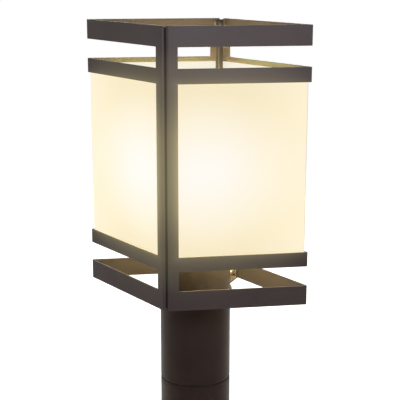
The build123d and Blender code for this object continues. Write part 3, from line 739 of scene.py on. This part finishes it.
def turned_screw(name, head, head_height, roll, shank, length):
    """A screw with a rounded head above the origin and a shank with a pointed end below it."""
    point_share = 0.25
    point = point_share * shank
    outline = [(0, head_height), *quarter_round(head, head_height, roll), (head, 0), (shank, 0),
               (shank, point - length), (shank - point, -length), (0, -length)]
    return turned(name, outline, steps=40)


# %% [markdown]
# Eight screws cross the seams and hold the two sheets together. Their recess is a cross, which is the same
# bar twice, narrowed towards its tip. Shanks of one length share a pattern.

# %% Seam screws
head, head_height, rounding, shank = 2.75, 2.0, 0.9, 1.5
cross_length, cross_width, cross_depth, cross_taper, cross_turn = 3.2, 0.8, 1.2, 0.5, pi / 12
patterns = {}
for count, (low, high) in enumerate(solids_of("seam_screws"), 1):
    length = round((high.x - low.x) / millimetre - head_height, 2)
    if length not in patterns:
        pattern = turned_screw(f"seam_pattern_{count}", head, head_height, rounding, shank, length)
        for turn in (0, pi / 2):
            cut_slot(pattern, cross_length, cross_width, cross_depth, head_height, turn, cross_taper)
        smooth(pattern)
        patterns[length] = pattern
    middle = (low + high) / 2
    seat = Vector((high.x - head_height * millimetre, middle.y, middle.z))
    made = copy_to(patterns[length], f"seam_screw_{count}", seat, (1, 0, 0), cross_turn)
    hand_over(made, screw_lacquer, "seam_screws")
for pattern in patterns.values():
    bpy.data.objects.remove(pattern)
print(count, "seam screws with shanks of", sorted(patterns), "millimetres")

# %% [markdown]
# The two brass terminal screws, which clamp the leads, sit on opposite sides of the socket. They have a
# plain slot right across the head.

# %% Terminal screws
head, head_height, rounding, shank, length = 3.5, 2.0, 0.6, 1.75, 5.0
slot_length, slot_width, slot_depth = 2.4 * head, 1.1, 1.0
pattern = turned_screw("terminal_pattern", head, head_height, rounding, shank, length)
cut_slot(pattern, slot_length, slot_width, slot_depth, head_height)
smooth(pattern)
for count, (low, high) in enumerate(solids_of("terminal_screws"), 1):
    side = 1 if high.x > -low.x else -1
    tip = max(high.x, -low.x)
    middle = (low + high) / 2
    seat = Vector((side * (tip - head_height * millimetre), middle.y, middle.z))
    made = copy_to(pattern, f"terminal_screw_{count}", seat, (side, 0, 0))
    hand_over(made, brass, "terminal_screws")
bpy.data.objects.remove(pattern)
print(count, "terminal screws with", len(made.data.polygons), "faces each")

# %% [markdown]
# The green screw under the fitter's cap is for the ground lead. It hangs head down, and its head has six
# flats and a slot, so that a spanner and a driver both fit.

# %% Ground screw
low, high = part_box("ground_screw")
head_flats, head_height, radius = 8.0, 3.0, 2.0
length, chamfer, overlap = 2.0, 0.3, 0.5
slot_length, slot_width, slot_depth = 2 * head_flats, 1.2, 1.2
screw = hexagon("ground_pattern", head_flats, head_height)
shank = [(0, overlap), (radius, overlap), (radius, chamfer - length), (radius - chamfer, -length),
         (0, -length)]
combine(screw, turned("shank", shank, steps=32), "UNION")
cut_slot(screw, slot_length, slot_width, slot_depth, head_height)
smooth(screw)
seat = Vector(((low.x + high.x) / 2, 0, low.z + head_height * millimetre))
made = copy_to(screw, "ground_screw_modelled", seat, (0, 0, -1), pi / 6)
hand_over(made, green_dye, "ground_screw")
bpy.data.objects.remove(screw)
print("ground screw with", len(made.data.polygons), "faces")

# %% [markdown]
# A thread is one wave of its outline, carried up and round by a Screw modifier, a pitch for each turn.
# It runs a little past both ends, where Bisect trims it and fills the cut.

# %% Helpers for threads
def trim(piece, low, high, fill=True):
    """Cuts a piece off below and above two heights in millimetres."""
    for level, below in ((low, True), (high, False)):
        edit_all(piece)
        bpy.ops.mesh.bisect(plane_co=(0, 0, level * millimetre), plane_no=(0, 0, 1), use_fill=fill,
                            clear_inner=below, clear_outer=not below, threshold=merge_distance)
        bpy.ops.object.mode_set(mode="OBJECT")


def threaded(name, wave, pitch, low, high, steps=32, fill=True):
    """A threaded body between two heights, from the radii of one wave."""
    lead_in, spare_turns = 1.5 * pitch, 3
    start = low - lead_in
    rise = pitch / (len(wave) - 1)
    body = drawn_line(name, [(radius, start + rise * count) for count, radius in enumerate(wave)])
    turns = int((high - start) / pitch) + spare_turns
    apply_modifier(body, "SCREW", screw_offset=pitch * millimetre, iterations=turns, steps=steps,
                   render_steps=steps)
    close_up(body)
    trim(body, low, high, fill)
    return body


# %% [markdown]
# Four studs on the bottom bands carry the strap. They are short rods with a fine pointed thread.

# %% Studs
stud_length, stud_crest, stud_root, stud_pitch = 6.7, 2.0, 1.65, 0.7
pattern = threaded("stud_pattern", (stud_root, stud_crest, stud_root), stud_pitch, 0, stud_length)
smooth(pattern)
for count, (low, high) in enumerate(solids_of("strap_studs"), 1):
    middle = (low + high) / 2
    inward = inward_from(middle)
    seat = middle - inward * stud_length / 2 * millimetre
    made = copy_to(pattern, f"strap_stud_{count}", seat, inward)
    hand_over(made, zinc_plate, "strap_studs")
bpy.data.objects.remove(pattern)
print(count, "studs with", len(made.data.polygons), "faces each")

# %% [markdown]
# The nipple is a threaded tube that clamps cap, strap, cup and socket in one stack. Its bore is drilled
# once the thread is made.

# %% Nipple
def heights_of(node):
    """The lower and the upper end of a node, and its radius, in millimetres."""
    low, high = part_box(node)
    return low.z / millimetre, high.z / millimetre, (high.x - low.x) / 2 / millimetre


foot, top = heights_of("nipple")[:2]
crest, root, bore, pitch, past = 5.0, 4.5, 3.5, 1.0, 1
made = threaded("nipple_modelled", (root, crest, root), pitch, foot, top)
drill = [(0, foot - past), (bore, foot - past), (bore, top + past), (0, top + past)]
combine(made, turned("drill", drill), "DIFFERENCE")
smooth(made)
hand_over(made, zinc_plate, "nipple")
print("nipple with", len(made.data.polygons), "faces")

# %% [markdown]
# The lamp's cap and the socket's shell are thin sheet with a rolled thread, so its waves are round. The cap
# is a turned core with the thread joined to it, which leaves flat grooves and a plain collar below the
# glass.

# %% Lamp cap
rolled_pitch, wave_points, round_steps = 3.63, 10, 64


def rolled_wave(inner, outer):
    """Radii of one round wave between an inner and an outer radius."""
    turns = [2 * pi * count / wave_points for count in range(wave_points + 1)]
    return [(inner + outer) / 2 - (outer - inner) / 2 * cos(turn) for turn in turns]


foot, top, cap = heights_of("lamp_cap")
wave = rolled_wave(cap - 1.1, cap)
groove, rim = cap - 0.9, 11.0
made = threaded("lamp_cap_modelled", wave, rolled_pitch, foot + 1.6, top - 3.4, round_steps)
core = [(0, foot), (rim, foot), (groove, foot + 2.0), (groove, top - 3.2), (cap - 0.15, top - 2.7),
        (cap, top - 2.2), (cap, top - 0.5), (cap - 0.4, top), (0, top)]
combine(made, turned("core", core, round_steps), "UNION")
smooth(made)
hand_over(made, lamp_metal, "lamp_cap", "lamp")
print("lamp cap with", len(made.data.polygons), "faces")

# %% [markdown]
# The shell is a wavy skin that Solidify gives its thickness, and a ring is joined to it as its floor.

# %% Socket shell
foot, top, shell = heights_of("socket_shell")
wave = rolled_wave(shell - 0.5, shell)
skin, lip, ring, inset = 0.35, 9.5, 0.6, 0.1
made = threaded("socket_shell_modelled", wave, rolled_pitch, foot + 0.2, top - 0.15, round_steps, fill=False)
apply_modifier(made, "SOLIDIFY", thickness=skin * millimetre, offset=-1.0, use_even_offset=True)
floor_ring = [(lip, foot), (shell - inset, foot), (shell - inset, foot + ring), (lip, foot + ring),
              (lip, foot)]
combine(made, turned("floor_ring", floor_ring, round_steps), "UNION")
smooth(made)
hand_over(made, brass, "socket_shell")
print("socket shell with", len(made.data.polygons), "faces")

# %% [markdown]
# Folded sheet is never knife sharp: its cut edges are rounded by the press and by the coat, and that edge
# catches a thin line of light. The solids have sharp edges, so copies of their meshes are merged, their
# flat faces are joined again from triangles, and a Bevel rounds every sharp edge a little.

# %% Soft edges on the sheets
flat_limit, sharp_limit = radians(0.5), radians(40)


def softened(node, material, width):
    """A copy of a node whose sharp edges are rounded."""
    piece = bpy.data.objects.new(node + "_soft", nodes[node].data.copy())
    bpy.context.scene.collection.objects.link(piece)
    close_up(piece)
    edit_all(piece)
    bpy.ops.mesh.dissolve_limited(angle_limit=flat_limit)
    apply_modifier(piece, "BEVEL", width=width * millimetre, segments=2, limit_method="ANGLE",
                   angle_limit=sharp_limit, use_clamp_overlap=False)
    smooth(piece)
    apply_modifier(piece, "WEIGHTED_NORMAL", keep_sharp=True, weight=100)
    hand_over(piece, material, node)
    print(node, "softened, with", len(piece.data.polygons), "faces")


for node in ("left_frame", "right_frame"):
    softened(node, sheet_paint, width=0.3)
# The strap and the ledges take the lighter inner paint, with its painted light.
softened("base_strap", lit_inner_paint, width=0.3)
softened("glass_ledges", lit_inner_paint, width=0.15)
softened("pane_clips", zinc_plate, width=0.15)
softened("glass_pads", pad_silicone, width=0.2)

# %% [markdown]
# The studio is a white floor without an edge in view, under a white sky. To the camera, and in gloss and
# glass, both are plain white. For the light that falls on the part the sky is softer, so that the big
# soft lamps can shape the faces. The floor still takes the lantern's shadow.

# %% White sky
studio = bpy.context.scene
studio.view_settings.view_transform = "Standard"
sky = bpy.data.worlds.new("studio_sky")
studio.world = sky
sky.use_nodes = True
tree = sky.node_tree


def seen_directly(tree):
    """One or more for rays from the camera, or by way of gloss or glass, and none for the rest."""
    rays = add_node(tree, "LightPath")
    first = math_node(tree, "ADD", rays.outputs["Is Camera Ray"], rays.outputs["Is Glossy Ray"])
    return math_node(tree, "ADD", first, rays.outputs["Is Transmission Ray"])


sky_light = 0.22
white_sky = tree.nodes["Background"]
white_sky.inputs["Color"].default_value = (1.0, 1.0, 1.0, 1.0)
strength = map_between(tree, seen_directly(tree), 0.0, 1.0, sky_light, 1.0)
tree.links.new(strength, white_sky.inputs["Strength"])
print("the sky lights the part with", sky_light, "of its white")

# %% [markdown]
# The floor is one wide plane under the fitter. Its emission counts only where it is seen directly or in
# gloss, so it looks white and doesn't flood the part with light from below.

# %% Floor
floor_size, floor_lift = 30.0, 0.83
select_alone()
bpy.ops.mesh.primitive_plane_add(size=floor_size, location=(0, 0, cad_low.z))
floor = bpy.context.object
floor.name = "floor"
floor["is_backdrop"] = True
floor_paint = bpy.data.materials.new("floor_paint")
floor_paint.use_nodes = True
tree = floor_paint.node_tree
shader = tree.nodes["Principled BSDF"]
shader.inputs["Base Color"].default_value = (0.82, 0.82, 0.82, 1.0)
shader.inputs["Roughness"].default_value = 0.9
shader.inputs["Specular IOR Level"].default_value = 0.0
shader.inputs["Emission Color"].default_value = (1.0, 1.0, 1.0, 1.0)
strength = map_between(tree, seen_directly(tree), 0.0, 1.0, 0.0, floor_lift)
tree.links.new(strength, shader.inputs["Emission Strength"])
floor.data.materials.append(floor_paint)
print("floor of", floor_size, "metres laid at", round(cad_low.z, 4))

# %% [markdown]
# A cool soft lamp hangs near, in front of the right face and level with its top. The right face is lightest
# there and falls off downwards, and the top band keeps that light out of the inside. A weak lamp fills the
# left face evenly, and one behind the lantern lights the faces that the camera doesn't see.

# %% Studio lamps
def hang(light, place):
    """Puts a light at a place, hidden from the camera."""
    holder = bpy.data.objects.new(light.name, light)
    studio.collection.objects.link(holder)
    holder.location = place
    holder.visible_camera = False
    return holder


def soft_lamp(name, place, aim, width, height, power, color=(1.0, 1.0, 1.0)):
    """A flat lamp of a width and a height that points at a place."""
    light = bpy.data.lights.new(name, "AREA")
    light.shape = "RECTANGLE"
    light.size = width
    light.size_y = height
    light.energy = power
    light.color = color
    lamp = hang(light, place)
    lamp.rotation_euler = (Vector(aim) - Vector(place)).to_track_quat("-Z", "Y").to_euler()
    return lamp


lantern_middle = Vector((0, 0, 0.33))
front_top = Vector((0, -0.05, 0.46))
cool = (0.82, 0.88, 1.0)
key_lamp = soft_lamp("key_lamp", (0.27, -0.38, 0.51), front_top, width=0.24, height=0.20, power=2.3,
                     color=cool)
fill_lamp = soft_lamp("fill_lamp", (-1.3, -0.5, 0.50), lantern_middle, width=0.8, height=0.3, power=4.0)
soft_lamp("back_lamp", (-0.5, 1.2, 0.9), lantern_middle, width=0.6, height=0.6, power=8.0)
print("three studio lamps, the key lamp at", [round(value, 2) for value in key_lamp.location])

# %% [markdown]
# The lamp inside lights the inner faces of the sheets, which look tan through the gaps. A round light at
# the bulb's middle does that, and a weak flat light lies behind each pane, which passes light on. The cut
# edges of the glass shine too: a thin light lies just above and behind each pane, a little green as light
# is that has run through the length of a pane, and one under its lower edge lights the cup.

# %% Light of the lamp
warm, edge_green = (1.0, 0.90, 0.41), (0.45, 1.0, 0.1)
lamp_power, glow_power, edge_power = 4.6, 0.50, 0.010
inner_light = bpy.data.lights.new("lamp_light", "POINT")
inner_light.energy = lamp_power
inner_light.color = warm
inner_light.shadow_soft_size = bulb_radius
inner_lights = [hang(inner_light, lamp_middle)]
glow_gap, edge_gap = 8.0 * millimetre, 0.5 * millimetre
glow_width, edge_length, edge_width = 140.0 * millimetre, 110.0 * millimetre, 3.0 * millimetre
lean_in = 1.2
for name in pane_sides:
    low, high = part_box(name)
    middle = (low + high) / 2
    inward = inward_from(middle)
    behind = middle + glow_gap * inward
    upper = Vector((behind.x, behind.y, high.z + edge_gap))
    lower = Vector((middle.x, middle.y, low.z - edge_gap))
    up = Vector((0, 0, 1)) - inward
    down = Vector((0, 0, -1)) + lean_in * inward
    inner_lights += [
        soft_lamp("glow_" + name, behind, behind + inward, glow_width, high.z - low.z, glow_power, warm),
        soft_lamp("upper_edge_" + name, upper, upper + up, edge_length, edge_width, edge_power, edge_green),
        soft_lamp("lower_edge_" + name, lower, lower + down, edge_length, edge_width, edge_power, warm),
    ]
print(len(inner_lights), "lights inside the lantern")

# %% [markdown]
# The glass has its own glow and lets light through, so the lights inside are linked to all but the glass:
# it neither blocks them nor is lit by them. The key and fill lamps leave out the glass, and the cup, which
# stands in the shade.

# %% Light linking
def all_but(name, left_out):
    """A collection for light linking that leaves some nodes out."""
    collection = bpy.data.collections.new(name)
    for node in left_out:
        collection.objects.link(nodes[node])
    for entry in collection.collection_objects:
        entry.light_linking.link_state = "EXCLUDE"
    return collection


glass = ("lamp_bulb", *pane_sides)
all_but_glass = all_but("all_but_glass", glass)
outer_faces = all_but("outer_faces", ("socket_cup", *glass))
for holder in inner_lights:
    holder.light_linking.receiver_collection = all_but_glass
    holder.light_linking.blocker_collection = all_but_glass
for holder in (key_lamp, fill_lamp):
    holder.light_linking.receiver_collection = outer_faces
print("left out by the lights inside:", ", ".join(glass))

# %% [markdown]
# The camera stands in front to the right, a little above the lantern's top, and looks down. Its place and
# its long lens come from matching the lantern's corners with their places in the picture.

# %% Camera
camera_place = Vector((0.46309, -1.09548, 0.55540))
camera_look = Vector((-0.37508, 0.89925, -0.22510))
camera = bpy.data.cameras.new("camera")
camera.sensor_width = 36.0
camera.lens = 93.22
camera_holder = bpy.data.objects.new("camera", camera)
studio.collection.objects.link(camera_holder)
camera_holder.location = camera_place
camera_holder.rotation_euler = camera_look.to_track_quat("-Z", "Y").to_euler()
studio.camera = camera_holder
print("camera looks from", [round(value, 3) for value in camera_place])

# %% [markdown]
# At the end, the box of the dressed part is printed, beside the box of the solids printed at the start.
# Each modelled piece stays inside the box of its solid.

# %% Size of the dressed part
low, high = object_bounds()
print("dressed, the part is", [round(size, 3) for size in high - low], "metres")
